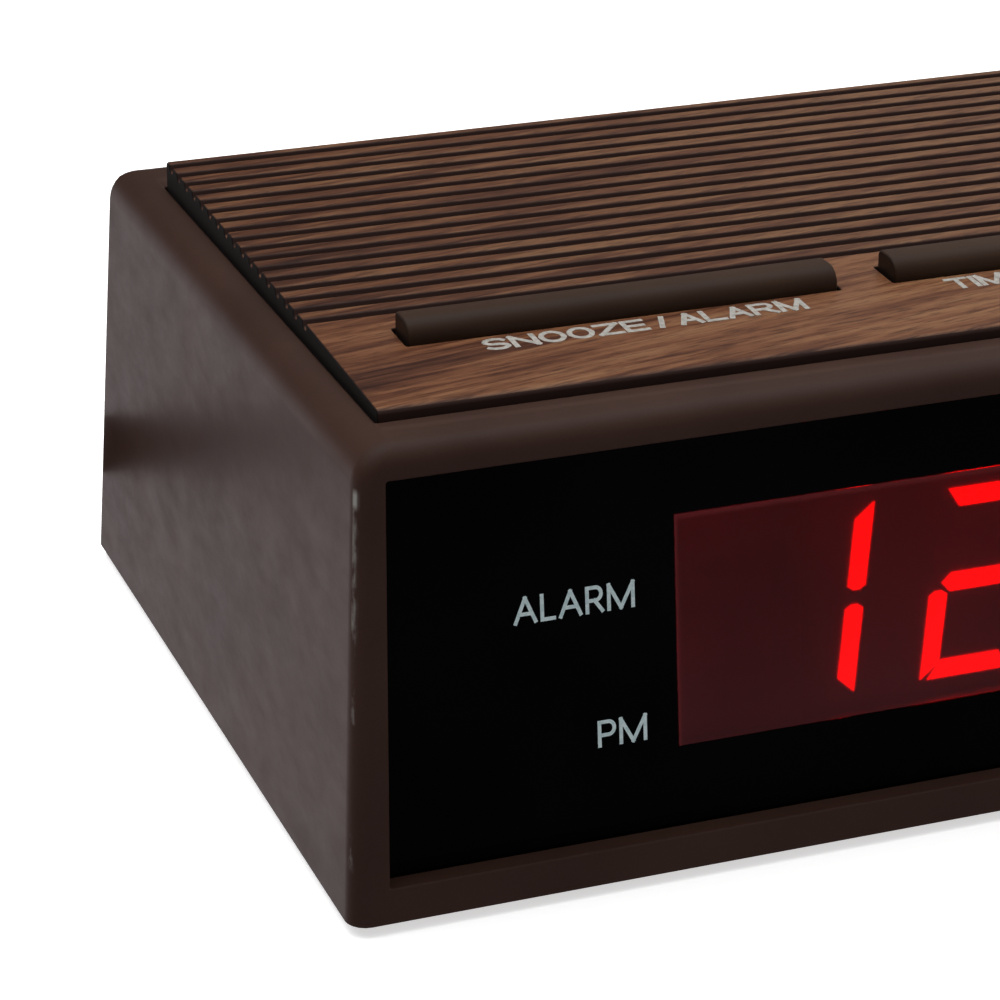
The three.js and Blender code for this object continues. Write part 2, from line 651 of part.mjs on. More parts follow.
function cordGrommet() {
  const r = CORD_HOLE.radius - 0.15;
  const body = turned([
    [0, -REAR_WALL - 3.2],
    [r + 1.4, -REAR_WALL - 3.2],
    [r + 1.4, -REAR_WALL - SEAT],
    [r, -REAR_WALL - SEAT],
    [r, SEAT],
    [r + 1.4, SEAT],
    [r + 1, 0.55],
    [0, 0.55],
  ], 24).rotateX(-Math.PI / 2);
  return cut(body, boxBetween(-2.9, 2.9, -20, 20, -1.6, 1.6));
}

const screw = (length, headRadius, shank) =>
  turned([
    [0, 0],
    [shank, 0.6],
    [shank, length],
    [headRadius, length],
    [headRadius, length + 0.6],
    [headRadius * 0.7, length + 1],
    [0, length + 1],
  ], 12);

const boardScrew = () => screw(BOARD_SCREW.length, BOARD_SCREW.head, BOARD_SCREW.shank);

const foot = () =>
  turned([
    [0, -FOOT_HEIGHT],
    [4.6, -FOOT_HEIGHT],
    [5.2, -FOOT_HEIGHT + 0.5],
    [5.2, -SEAT / 2],
    [0, -SEAT / 2],
  ], 24);

// ---- Alarm slide switch, in the rear frame ----
function alarmSwitchBody() {
  const { x, z, travel, slotHeight, knobWidth } = ALARM_SWITCH;
  const back = -REAR_WALL - SEAT;
  const body = boxBetween(x - 7, x + 7 + travel, back - 8, back, z - 4, z + 4);
  const x0 = x - knobWidth / 2 - FIT;
  const x1 = x + knobWidth / 2 + travel + FIT;
  const channel = boxBetween(x0, x1, back - 5, back + 1, z - slotHeight / 2, z + slotHeight / 2);
  return cut(body, channel);
}

function alarmSwitchKnob() {
  const { x, z, slotHeight, knobWidth } = ALARM_SWITCH;
  const height = slotHeight / 2 - 0.25;
  const half = knobWidth / 2;
  const teeth = [0, 1, 2, 3].map((i) => {
    const middle = x - half + 0.75 + i * 0.9;
    return boxBetween(middle - 0.2, middle + 0.2, 0.75, 2, z - 5, z + 5);
  });
  return cut(boxBetween(x - half, x + half, -REAR_WALL - 4.6, 1.05, z - height, z + height), ...teeth);
}

// ---- Assembly ----
place("cabinet", cabinet(), caseBrown);
place("base_plate", basePlate(), blackPlastic);
place("woodgrain_top_panel", woodgrainPanel(), walnutFilm);
place("front_panel", frontPanel(), pianoBlack, frontFrame);
place("red_display_window", redWindow(), redFilter, frontFrame);

for (const key of KEYS) {
  place(`${key.name}_key`, keyBar(key), keyBrown);
  place(`${key.name}_switch_body`, switchBody(key), blackPlastic);
  place(`${key.name}_switch_plunger`, switchPlunger(key), ivoryPlastic);
  key.springXs.forEach((dx, i) => {
    const side = key.springXs.length > 1 ? ["_left", "_right"][i] : "";
    place(`${key.name}_spring${side}`, returnSpring(key.x + dx), steel);
  });
}
place("key_board", keyBoard(), boardBrown);
BOARD_BOSS.xs.forEach((x, i) => {
  const piece = place(`key_board_screw_${i + 1}`, boardScrew().rotateX(Math.PI), steel);
  piece.position.set(x, keyY, KEY_BOARD.top - KEY_BOARD.thickness - SEAT + BOARD_SCREW.length);
});

place("led_display", displayModule(), displayGrey, frontFrame);
place("display_board", displayBoard(), boardBrown, frontFrame);
place("alarm_indicator_led", indicatorLed(), redLed, frontFrame).position.set(-38, 0, 31);
place("pm_indicator_led", indicatorLed(), redLed, frontFrame).position.set(-38, 0, 16);

place("main_board", mainBoard(), boardBrown);
MAIN_BOARD_POSTS.slice(0, 2).forEach(([x, y], i) => {
  const piece = place(`main_board_screw_${i + 1}`, boardScrew(), steel);
  piece.position.set(x, y, boardTop - BOARD_SCREW.length);
});
place("clock_chip", clockChip(), blackPlastic).position.set(-34, -6, boardTop);
place("filter_capacitor", capacitor(6.3, 20), capacitorBlue).position.set(2, 2, boardTop);
place("timing_capacitor", capacitor(3.2, 9), capacitorBlue).position.set(-8, 9, boardTop);
place("rectifier_diode_1", diode(), blackPlastic).position.set(-6, -18, boardTop);
place("rectifier_diode_2", diode(), blackPlastic).position.set(-6, -13, boardTop);
place("driver_transistor", transistor(), blackPlastic).position.set(-58, 8, boardTop);

const transformer = new THREE.Group();
transformer.position.set(TRANSFORMER.x, TRANSFORMER.y, 0);
inCase.add(transformer);
place("transformer_core", transformerCore(), laminations, transformer);
place("transformer_coil", transformerCoil(), copper, transformer);
place("transformer_strap", transformerStrap(), steel, transformer);
TRANSFORMER.screwXs.forEach((x, i) => {
  const piece = place(`transformer_screw_${i + 1}`, screw(3, 2.4, 0.85), steel, transformer);
  piece.position.set(x, 0, 0.2);
});

const buzzerFloor = BASE_THICKNESS + SEAT;
place("buzzer_housing", buzzerHousing(), blackPlastic).position.set(BUZZER.x, BUZZER.y, buzzerFloor);
place("buzzer_disc", buzzerDisc(), brass).position.set(BUZZER.x, BUZZER.y, buzzerFloor + 0.9);

const displayRibbonPath = [[-35.9, 20], [-33, 19.6], [-29.5, 17], [-25, 13.5], [-21.5, 12]];
place("display_ribbon", ribbon(displayRibbonPath, -22, -4, 0.8), ivoryPlastic);
const keyRibbonPath = [[-16, 37.4], [-10, 35], [-5, 27], [0, 18], [7, 11.5], [12, 10.6]];
place("key_ribbon", ribbon(keyRibbonPath, -34, -22, 0.8), ivoryPlastic);

place("cord_grommet", cordGrommet(), rubber, rearFrame).position.set(CORD_HOLE.x, 0, CORD_HOLE.z);
place("alarm_switch_body", alarmSwitchBody(), blackPlastic, rearFrame);
place("alarm_switch_knob", alarmSwitchKnob(), blackPlastic, rearFrame);

BASE_SCREWS.forEach(([x, y], i) => {
  const piece = place(`base_screw_${i + 1}`, screw(10, 2.9, 1.15).rotateX(Math.PI), steel);
  piece.position.set(x, y, 11.1);
});
FEET.forEach(([x, y], i) => {
  place(`foot_${i + 1}`, foot(), rubber).position.set(x, y, 0);
});
place("rating_label", boxBetween(-20, 34, 20, 44, -0.25, -0.05), foil);

export default clock;
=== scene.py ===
import json
import math

import bmesh
import bpy
from mathutils import Matrix, Vector


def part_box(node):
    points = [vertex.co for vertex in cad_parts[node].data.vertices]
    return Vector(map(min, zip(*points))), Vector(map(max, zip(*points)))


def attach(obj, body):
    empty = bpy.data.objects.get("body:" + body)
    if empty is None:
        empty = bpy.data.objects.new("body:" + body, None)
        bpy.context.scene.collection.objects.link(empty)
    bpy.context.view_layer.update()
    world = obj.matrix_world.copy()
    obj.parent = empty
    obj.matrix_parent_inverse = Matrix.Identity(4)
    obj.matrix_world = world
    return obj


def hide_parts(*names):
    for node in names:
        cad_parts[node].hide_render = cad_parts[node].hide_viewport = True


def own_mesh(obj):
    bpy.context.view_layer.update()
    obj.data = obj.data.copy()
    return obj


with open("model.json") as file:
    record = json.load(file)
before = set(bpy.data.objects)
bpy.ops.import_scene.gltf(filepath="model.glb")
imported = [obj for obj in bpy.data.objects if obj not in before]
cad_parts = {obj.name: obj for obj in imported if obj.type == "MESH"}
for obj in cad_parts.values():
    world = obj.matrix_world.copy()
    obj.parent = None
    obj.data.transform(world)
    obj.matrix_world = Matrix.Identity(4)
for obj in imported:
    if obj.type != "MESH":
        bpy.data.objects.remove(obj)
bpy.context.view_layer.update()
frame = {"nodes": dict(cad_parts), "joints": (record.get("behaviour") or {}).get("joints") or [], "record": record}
NODES = frame["nodes"]
SLOT_OF = {part["node"]: part["material_slot"] for part in frame["record"]["subparts"]}
BODY_OF = {node: body for body, nodes in frame["record"]["behaviour"]["bodies"].items() for node in nodes}
CASE = "clock_case"
MM = 0.001

# ---------------------------------------------------------------- camera
camera_data = bpy.data.cameras.new("camera")
camera_data.lens = 125.28
camera_data.sensor_width = 36
camera = bpy.data.objects.new("camera", camera_data)
camera.location = (-0.17967, -0.35731, 0.18843)
camera.rotation_euler = (math.radians(66.61), 0, math.radians(-20.30))
bpy.context.collection.objects.link(camera)
bpy.context.scene.camera = camera
bpy.context.scene.view_settings.view_transform = "Standard"

# ---------------------------------------------------------------- the case's leaning faces, lengths in mm
FOOT = 1.2  # height of the cabinet's bottom edge
HALF_WIDTH = 84.0  # at that edge
HALF_DEPTH = 53.5
SIDE_LEAN = math.radians(3.7)
FRONT_LEAN = math.radians(6)
TOP_SLOPE = math.radians(2.2)
PANEL_START = 13  # from the front to where the top panel's slope is measured
PANEL_HEIGHT = 53.2  # there, above the bottom edge
RIBS_FROM = -16.3  # Y just in front of the panel's first groove

# Frames of the two printed faces: X runs across the face, Z up it and Y into it.
FRONT_FRAME = Matrix.Translation((0, -HALF_DEPTH * MM, FOOT * MM)) @ Matrix.Rotation(-FRONT_LEAN, 4, "X")
TOP_FRAME = (
    Matrix.Translation((0, (PANEL_START - HALF_DEPTH) * MM, (PANEL_HEIGHT + FOOT) * MM))
    @ Matrix.Rotation(TOP_SLOPE, 4, "X") @ Matrix.Rotation(math.radians(-90), 4, "X")
)


# ---------------------------------------------------------------- node helpers
def add(tree, kind, inputs=None, **settings):
    """A shader node with its settings, its inputs set to values or linked to sockets."""
    node = tree.nodes.new("ShaderNode" + kind)
    for name, value in settings.items():
        setattr(node, name, value)
    for name, value in (inputs or {}).items():
        if isinstance(value, bpy.types.NodeSocket):
            tree.links.new(value, node.inputs[name])
        else:
            node.inputs[name].default_value = value
    return node


def rgb(red, green, blue):
    """A colour given as 0-255 screen values, in the linear values that shaders take."""
    linear = [(c / 255 / 12.92) if c <= 10 else ((c / 255 + 0.055) / 1.055) ** 2.4 for c in (red, green, blue)]
    return (*linear, 1)


def ramp(tree, value, *stops):
    """Colour by value: stops are (position, colour)."""
    node = add(tree, "ValToRGB", {"Fac": value})
    elements = node.color_ramp.elements
    while len(elements) < len(stops):
        elements.new(0.5)
    for element, (position, colour) in zip(elements, stops):
        element.position = position
        element.color = colour
    return node.outputs["Color"]


def mapped(tree, value, low, high, to_low, to_high):
    """A value taken from the range low to high onto another range, and held at its ends."""
    return add(tree, "MapRange", {
        "Value": value, "From Min": low, "From Max": high, "To Min": to_low, "To Max": to_high,
    }).outputs["Result"]


def maths(tree, operation, *values):
    return add(tree, "Math", dict(enumerate(values)), operation=operation).outputs[0]


def plus(tree, a, b):
    return maths(tree, "ADD", a, b)


def minus(tree, a, b):
    return maths(tree, "SUBTRACT", a, b)


def times(tree, a, b):
    return maths(tree, "MULTIPLY", a, b)


def unsigned(tree, value):
    return maths(tree, "ABSOLUTE", value)


def mixed(tree, share, a, b):
    """Colour a, with that share of colour b."""
    factor, first, second, result = 0, 6, 7, 2  # where a Mix node keeps its colour sockets
    return add(tree, "Mix", {factor: share, first: a, second: b}, data_type="RGBA").outputs[result]


def axes_of(tree, kind="Object"):
    """X, Y and Z of a texture coordinate; the Object one is the position in the part's frame."""
    return add(tree, "SeparateXYZ", {"Vector": add(tree, "TexCoord").outputs[kind]}).outputs


def place_in(tree, scale=(1, 1, 1), turn=(0, 0, 0)):
    """Position in the part's frame, stretched and turned."""
    coordinates = add(tree, "TexCoord").outputs["Object"]
    return add(tree, "Mapping", {"Vector": coordinates, "Scale": scale, "Rotation": turn}).outputs["Vector"]


def grain_in(tree, along, across, slant):
    """Position stretched for marks that long and that wide (mm), slant degrees off X."""
    coordinates = add(tree, "TexCoord").outputs["Object"]
    return add(tree, "Mapping", {
        "Vector": coordinates, "Scale": (along * MM, across * MM, MM), "Rotation": (0, 0, math.radians(slant)),
    }, vector_type="TEXTURE").outputs["Vector"]


def noise(tree, vector, scale, detail, roughness=0.5, distortion=0.0):
    return add(tree, "TexNoise", {
        "Vector": vector, "Scale": scale, "Detail": detail, "Roughness": roughness, "Distortion": distortion,
    }).outputs["Fac"]


def waves(tree, scale, direction, distortion=0.0):
    """Even bands across one axis of the part's frame."""
    return add(tree, "TexWave", {
        "Vector": place_in(tree), "Scale": scale, "Distortion": distortion, "Detail": 2.0,
    }, bands_direction=direction).outputs["Fac"]


def bump(tree, height, strength, depth):
    """A normal for relief of that depth in mm."""
    return add(tree, "Bump", {"Height": height, "Strength": strength, "Distance": depth * MM}).outputs["Normal"]


def principled(name, **values):
    """A new material, its tree and its shader; values go straight to the shader's own sockets."""
    material = bpy.data.materials.new(name)
    material.use_nodes = True
    tree = material.node_tree
    shader = tree.nodes["Principled BSDF"]
    for key, value in values.items():
        shader.inputs[key.replace("_", " ")].default_value = value
    return material, tree, shader


def drive(tree, shader, **links):
    """Link sockets to the shader's inputs by name."""
    for key, socket in links.items():
        tree.links.new(socket, shader.inputs[key.replace("_", " ")])


# ---------------------------------------------------------------- materials
GLINT_REACH = 1.63  # mm inside the side's and front's planes, added up: where the painted highlight line runs down the edge
GLINT_TOP = 46.6  # mm above the bottom edge: a pale painted highlight spot, with the painted highlight line below it


def corner_glint(tree, colour):
    """Painted highlight: a thin pale line of specks down the two upright front corners, with a pale spot near its
    top, painted where light glints on the corners.
    """
    axes = axes_of(tree)
    height = minus(tree, axes["Z"], FOOT * MM)
    across = plus(tree, unsigned(tree, axes["X"]), times(tree, height, math.tan(SIDE_LEAN)))
    forward = minus(tree, times(tree, height, math.tan(FRONT_LEAN)), axes["Y"])
    past_side = minus(tree, across, HALF_WIDTH * MM)
    past_front = minus(tree, forward, HALF_DEPTH * MM)

    off_line = unsigned(tree, plus(tree, plus(tree, past_side, past_front), GLINT_REACH * MM))
    on_line = mapped(tree, off_line, 0.07 * MM, 0.2 * MM, 1, 0)
    on_side = mapped(tree, minus(tree, past_side, past_front), 0.1 * MM, 0.4 * MM, 0, 1)

    spot = mapped(tree, unsigned(tree, minus(tree, height, GLINT_TOP * MM)), 0.5 * MM, 1.2 * MM, 0.6, 0)
    specks = noise(tree, place_in(tree, (1, 1, 0.35)), 520, 4, 0.7)
    more_higher_up = mapped(tree, height, 12 * MM, 46 * MM, -0.12, 0.05)
    below_spot = mapped(tree, height, (GLINT_TOP - 0.1) * MM, (GLINT_TOP + 0.9) * MM, 0.32, 0)
    glint_specks = mapped(tree, plus(tree, specks, more_higher_up), 0.5, 0.66, 0, below_spot)
    share = times(tree, times(tree, on_line, on_side), maths(tree, "MAXIMUM", glint_specks, spot))
    # The pale colour mixed in here is a painted highlight on the corners.
    return mixed(tree, share, colour, rgb(190, 192, 184))


def moulded(
    name, dark, light, roughness=(0.35, 0.5), grain=2600, grain_depth=0.02, specular=0.5, painted_glint=False, ends=None,
):
    """Moulded plastic: cloudy colour, a fine spark-eroded grain, and handling marks in the gloss.

    A flag adds the painted highlight down the front corners; ends is a darker colour painted on the faces that
    look along X, as painted shade.
    """
    material, tree, shader = principled(name, Specular_IOR_Level=specular)
    where = place_in(tree)
    clouds = noise(tree, where, 55, 3)
    specks = noise(tree, where, grain, 2, 0.6)
    tone = plus(tree, times(tree, clouds, 0.7), times(tree, specks, 0.3))
    colour = ramp(tree, tone, (0.36, dark), (0.64, light))
    # Painted highlight down the two front corners.
    if painted_glint:
        colour = corner_glint(tree, colour)
    # Painted shade: the faces that look along X take the darker ends colour.
    if ends:
        end_shade_mask = unsigned(tree, axes_of(tree, "Normal")["X"])
        colour = mixed(tree, mapped(tree, end_shade_mask, 0.6, 0.95, 0, 1), colour, ends)
    marks = noise(tree, place_in(tree, (1, 1, 2.2), (0.3, 0.5, 0.2)), 130, 5, 0.65)
    drive(
        tree, shader,
        Base_Color=colour,
        Roughness=mapped(tree, marks, 0.3, 0.7, *roughness),
        Normal=bump(tree, specks, 0.35, grain_depth),
    )
    return material


def walnut():
    """Walnut-print film on the level faces of a dark brown moulding: slanting streaks with dark pores."""
    material, tree, shader = principled("walnut_film", Specular_IOR_Level=0.3)
    streaks = noise(tree, grain_in(tree, 26, 1.1, 9), 1.0, 5, 0.62, 0.35)
    broad = noise(tree, grain_in(tree, 60, 5, 12), 1.0, 3, 0.5, 0.4)
    pores = noise(tree, grain_in(tree, 3.2, 0.22, 10), 1.0, 2, 0.6)
    where = axes_of(tree)
    tone = plus(tree, times(tree, streaks, 0.6), times(tree, broad, 0.4))
    paler_to_the_right = mapped(tree, where["X"], -80 * MM, 20 * MM, -0.015, 0.1)
    wood = ramp(
        tree, plus(tree, tone, paler_to_the_right),
        (0.36, rgb(50, 26, 19)), (0.46, rgb(92, 54, 35)), (0.54, rgb(121, 77, 50)), (0.64, rgb(140, 98, 66)),
    )
    pored = mixed(tree, mapped(tree, pores, 0.5, 0.64, 0, 0.6), wood, rgb(50, 24, 16))
    # Painted shade: the film is painted about a quarter darker over the ribbed area.
    rib_shade = mapped(tree, where["Y"], RIBS_FROM * MM, (RIBS_FROM + 0.5) * MM, 0, 0.24)
    film = mixed(tree, rib_shade, pored, rgb(44, 28, 24))

    facing = axes_of(tree, "Normal")
    # Painted shade: faces that look along X are painted much darker than the bare moulding.
    side_shade = mapped(tree, unsigned(tree, facing["X"]), 0.3, 0.7, 0, 1)
    bare_and_side_shade = mixed(tree, side_shade, rgb(64, 43, 37), rgb(26, 18, 16))
    printed = mapped(tree, facing["Z"], 0.62, 0.93, 0, 1)
    film_roughness = mapped(tree, streaks, 0.3, 0.7, 0.28, 0.4)
    drive(
        tree, shader,
        Base_Color=mixed(tree, printed, bare_and_side_shade, film),
        Roughness=mapped(tree, printed, 0, 1, 0.8, film_roughness),
        Normal=bump(tree, pores, 0.15, 0.02),
    )
    return material


def polished_black():
    """Polished acrylic: black, with a faint unevenness and hairline wipe marks in the gloss."""
    material, tree, shader = principled("front_gloss", Specular_IOR_Level=0.35)
    haze = noise(tree, place_in(tree), 40, 3)
    wipes = noise(tree, place_in(tree, (900, 60, 90), (0, 0.5, 0)), 1.5, 2)
    drive(
        tree, shader,
        Base_Color=ramp(tree, haze, (0.35, rgb(3, 3, 4)), (0.7, rgb(8, 8, 11))),
        Roughness=mapped(tree, wipes, 0.3, 0.7, 0.05, 0.11),
    )
    return material


def red_filter():
    """Dark red acrylic that lets the digits through, with a milky haze and a painted highlight along its top and
    side cut edges.
    """
    material, tree, shader = principled(
        "red_filter", Transmission_Weight=0.7, IOR=1.3, Specular_IOR_Level=0.3, Roughness=0.27)
    low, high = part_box("red_display_window")
    axes = axes_of(tree)
    side_rim = mapped(tree, unsigned(tree, axes["X"]), high.x - 0.5 * MM, high.x - 0.1 * MM, 0, 1)
    top_rim = mapped(tree, axes["Z"], high.z - 0.7 * MM, high.z - 0.3 * MM, 0, 1)
    edge_highlight = times(tree, maths(tree, "MAXIMUM", side_rim, top_rim), 0.7)
    higher_up = mapped(tree, axes["Z"], low.z + 4 * MM, high.z, 0, 1)
    body = mixed(tree, higher_up, rgb(146, 56, 64), rgb(160, 16, 22))
    haze = mapped(tree, noise(tree, place_in(tree), 42, 1), 0.25, 0.75, 0, 0.6)
    cloudy = mixed(tree, haze, body, rgb(100, 34, 38))
    drive(tree, shader, Base_Color=mixed(tree, edge_highlight, cloudy, rgb(196, 70, 74)))
    return material


def lit_segment():
    """A lit segment: a little uneven, as a light pipe over two chips is."""
    strength = 10.5
    material, tree, shader = principled("lit_segment", Roughness=0.4, Base_Color=rgb(200, 20, 20))
    patches = noise(tree, place_in(tree), 260, 2)
    drive(
        tree, shader,
        Emission_Color=mixed(tree, patches, rgb(255, 2, 4), rgb(255, 10, 8)),
        Emission_Strength=mapped(tree, patches, 0.2, 0.8, strength * 0.85, strength * 1.15),
    )
    return material


def printed_ink(name, dark, light):
    """Screen-printed ink: slightly uneven cover and a raised, matt surface."""
    material, tree, shader = principled(name)
    cover = noise(tree, place_in(tree), 1900, 3, 0.6)
    drive(
        tree, shader,
        Base_Color=ramp(tree, cover, (0.35, dark), (0.6, light)),
        Roughness=mapped(tree, cover, 0.3, 0.7, 0.45, 0.62),
        Normal=bump(tree, cover, 0.2, 0.01),
    )
    return material


def metal(name, dark, light, roughness, grain=(1, 1, 1)):
    """Rolled, drawn or plated metal: fine marks along the grain and a patchy tone."""
    material, tree, shader = principled(name, Metallic=1.0)
    marks = noise(tree, place_in(tree, grain), 400, 4, 0.65)
    patches = noise(tree, place_in(tree), 120, 2)
    drive(
        tree, shader,
        Base_Color=ramp(tree, patches, (0.35, dark), (0.65, light)),
        Roughness=mapped(tree, marks, 0.3, 0.7, *roughness),
        Normal=bump(tree, marks, 0.2, 0.02),
    )
    return material


def circuit_board():
    """Phenolic board: fibrous tan laminate with darker tracks that show through faintly."""
    material, tree, shader = principled("circuit_board")
    fibres = noise(tree, place_in(tree, (60, 700, 700)), 1, 4, 0.6)
    tracks = add(tree, "TexBrick", {
        "Vector": place_in(tree, turn=(0, 0, 0.785)), "Scale": 90.0, "Mortar Size": 0.03,
        "Color1": rgb(168, 126, 66), "Color2": rgb(160, 118, 62), "Mortar": rgb(112, 92, 44),
    }).outputs["Color"]
    tone = ramp(tree, fibres, (0.3, rgb(140, 100, 52)), (0.7, rgb(182, 140, 80)))
    drive(
        tree, shader,
        Base_Color=mixed(tree, 0.16, tone, tracks),
        Roughness=mapped(tree, fibres, 0.3, 0.7, 0.42, 0.6),
        Normal=bump(tree, fibres, 0.15, 0.02),
    )
    return material


def laminated():
    """Stack of varnished steel laminations, seen as fine lines across the depth."""
    material, tree, shader = principled("laminations", Metallic=0.7)
    sheets = waves(tree, 320.0, "Y", 0.3)
    varnish = noise(tree, place_in(tree), 160, 4)
    drive(
        tree, shader,
        Base_Color=mixed(tree, varnish, rgb(62, 60, 60), rgb(96, 90, 84)),
        Roughness=mapped(tree, varnish, 0.3, 0.7, 0.3, 0.55),
        Normal=bump(tree, sheets, 0.5, 0.08),
    )
    return material


def wound_tape():
    """Yellow winding tape in overlapping turns."""
    material, tree, shader = principled("coil_tape")
    turns = waves(tree, 60.0, "Z", 0.4)
    stain = noise(tree, place_in(tree), 90, 4)
    drive(
        tree, shader,
        Base_Color=ramp(tree, stain, (0.3, rgb(150, 104, 30)), (0.7, rgb(205, 160, 62))),
        Roughness=mapped(tree, stain, 0.3, 0.7, 0.25, 0.42),
        Normal=bump(tree, turns, 0.4, 0.06),
    )
    return material


def ribbon_cable():
    """Grey flat cable: ridges of parallel wires."""
    material, tree, shader = principled("ribbon_pvc")
    wires = waves(tree, 125.0, "X")
    tone = noise(tree, place_in(tree), 80, 2)
    ridges = ramp(tree, tone, (0.3, rgb(182, 178, 168)), (0.7, rgb(204, 200, 190)))
    drive(
        tree, shader,
        Base_Color=mixed(tree, wires, rgb(150, 146, 136), ridges),
        Roughness=mapped(tree, tone, 0.3, 0.7, 0.35, 0.5),
        Normal=bump(tree, wires, 0.6, 0.15),
    )
    return material


def label_foil():
    """Blank printed foil label: brushed, with a dark printed frame."""
    material, tree, shader = principled("label_foil", Metallic=0.75)
    low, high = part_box("rating_label")
    middle, half = (low + high) / 2, (high - low) / 2
    axes = axes_of(tree)
    margin = 1.2 * MM
    line_at, line_half_width = 0.98, 0.012  # shares of the way from the middle to the margin

    across = maths(tree, "DIVIDE", unsigned(tree, minus(tree, axes["X"], middle.x)), half.x - margin)
    along = maths(tree, "DIVIDE", unsigned(tree, minus(tree, axes["Y"], middle.y)), half.y - margin)
    line = maths(tree, "COMPARE", maths(tree, "MAXIMUM", across, along), line_at, line_half_width)
    brushed = noise(tree, place_in(tree, (30, 900, 900)), 1.5, 3)
    foil = ramp(tree, brushed, (0.3, rgb(168, 168, 166)), (0.7, rgb(206, 206, 202)))
    drive(
        tree, shader,
        Base_Color=mixed(tree, line, foil, rgb(30, 30, 32)),
        Roughness=mapped(tree, brushed, 0.3, 0.7, 0.3, 0.45),
        Normal=bump(tree, brushed, 0.1, 0.01),
    )
    return material


MATERIALS = {
    # case_plastic carries a painted highlight down its front corners.
    "case_plastic": moulded(
        "case_plastic", rgb(63, 43, 36), rgb(70, 49, 41), (0.34, 0.44), specular=0.18, painted_glint=True),
    # The keys' darker end colour is painted shade on their end faces.
    "key_plastic": moulded(
        "key_plastic", rgb(60, 41, 30), rgb(67, 47, 33), (0.36, 0.46), specular=0.25, ends=rgb(34, 24, 20)),
    "base_plastic": moulded(
        "base_plastic", rgb(24, 22, 22), rgb(34, 31, 30), (0.5, 0.65), grain=1500, grain_depth=0.05),
    "walnut_film": walnut(),
    "front_gloss": polished_black(),
    "red_filter": red_filter(),
    "switch_black": moulded("switch_black", rgb(18, 18, 18), rgb(30, 29, 29)),
    "ivory_plastic": moulded("ivory_plastic", rgb(196, 188, 164), rgb(222, 214, 190)),
    "display_plastic": moulded("display_plastic", rgb(12, 9, 10), rgb(18, 12, 13), (0.5, 0.7)),
    "led_epoxy": moulded("led_epoxy", rgb(110, 10, 14), rgb(150, 20, 22), (0.12, 0.25)),
    "component_epoxy": moulded("component_epoxy", rgb(20, 20, 21), rgb(34, 34, 35), (0.5, 0.65)),
    "capacitor_sleeve": moulded(
        "capacitor_sleeve", rgb(24, 40, 92), rgb(36, 56, 116), (0.2, 0.32), grain=900, grain_depth=0.01),
    "buzzer_plastic": moulded("buzzer_plastic", rgb(20, 20, 20), rgb(32, 31, 31)),
    "foot_rubber": moulded(
        "foot_rubber", rgb(20, 20, 20), rgb(34, 33, 33), (0.7, 0.9), grain=1200, grain_depth=0.08, specular=0.3),
    "circuit_board": circuit_board(),
    "transformer_steel": laminated(),
    "coil_tape": wound_tape(),
    "ribbon_pvc": ribbon_cable(),
    "label_foil": label_foil(),
    "spring_steel": metal("spring_steel", rgb(150, 150, 150), rgb(190, 190, 192), (0.2, 0.35)),
    "plated_steel": metal("plated_steel", rgb(160, 158, 146), rgb(200, 198, 186), (0.25, 0.42)),
    "brass": metal("brass", rgb(170, 130, 66), rgb(206, 168, 96), (0.25, 0.45), grain=(1, 6, 1)),
}
LIT = lit_segment()
UNLIT = moulded("unlit_segment", rgb(16, 10, 11), rgb(22, 13, 14), (0.4, 0.6))
WHITE_INK = printed_ink("white_ink", rgb(148, 144, 136), rgb(176, 172, 165))
PALE_INK = printed_ink("pale_ink", rgb(196, 224, 226), rgb(226, 246, 246))


# ---------------------------------------------------------------- mesh helpers
def paint(piece, material):
    piece.data.materials.clear()
    piece.data.materials.append(material)


def new_piece(name, mesh, material, body):
    piece = bpy.data.objects.new(name, mesh)
    bpy.context.collection.objects.link(piece)
    paint(piece, material)
    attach(piece, body)
    return piece


def mesh_from(work, name):
    """A mesh of what a bmesh holds; the bmesh is freed."""
    mesh = bpy.data.meshes.new(name)
    work.to_mesh(mesh)
    work.free()
    return mesh


def shade_smooth(mesh):
    for polygon in mesh.polygons:
        polygon.use_smooth = True


def with_modifiers(mesh, *modifiers):
    """A mesh with modifiers worked into it: each is (type, {setting: value})."""
    holder = bpy.data.objects.new("holder", mesh)
    bpy.context.collection.objects.link(holder)
    for kind, settings in modifiers:
        modifier = holder.modifiers.new(kind, kind)
        for key, value in settings.items():
            setattr(modifier, key, value)
    graph = bpy.context.evaluated_depsgraph_get()
    made = bpy.data.meshes.new_from_object(holder.evaluated_get(graph))
    bpy.data.objects.remove(holder)
    return made


def welded_copy(node, most_corners):
    """The CAD node's mesh with its vertices joined and its flat faces made whole.

    Faces with more than most_corners corners are cut into triangles.
    """
    work = bmesh.new()
    work.from_mesh(NODES[node].data)
    bmesh.ops.remove_doubles(work, verts=work.verts, dist=2e-6)
    bmesh.ops.dissolve_limit(
        work, angle_limit=math.radians(0.4), verts=work.verts, edges=work.edges, use_dissolve_boundaries=False)
    if most_corners:
        bmesh.ops.triangulate(work, faces=[face for face in work.faces if len(face.verts) > most_corners])
    return mesh_from(work, node + "_refined")


def refined(node, edge_width, segments, sharper_than=40, clamp=False, most_corners=None):
    """A piece that stands for a CAD node: the same solid, with its sharp edges rounded and its curves smooth.

    edge_width is in mm. Edges that turn by more than sharper_than degrees are rounded.
    """
    mesh = welded_copy(node, most_corners)
    shade_smooth(mesh)
    rounded = with_modifiers(
        mesh,
        ("BEVEL", {
            "width": edge_width * MM, "segments": segments, "limit_method": "ANGLE",
            "angle_limit": math.radians(sharper_than), "use_clamp_overlap": clamp, "miter_outer": "MITER_ARC",
        }),
        ("WELD", {"merge_threshold": 3e-6}),
        ("WEIGHTED_NORMAL", {"weight": 80, "keep_sharp": False}),
    )
    slot = SLOT_OF[node]
    piece = new_piece(node + "_moulding", rounded, MATERIALS[slot], BODY_OF[node])
    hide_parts(node)


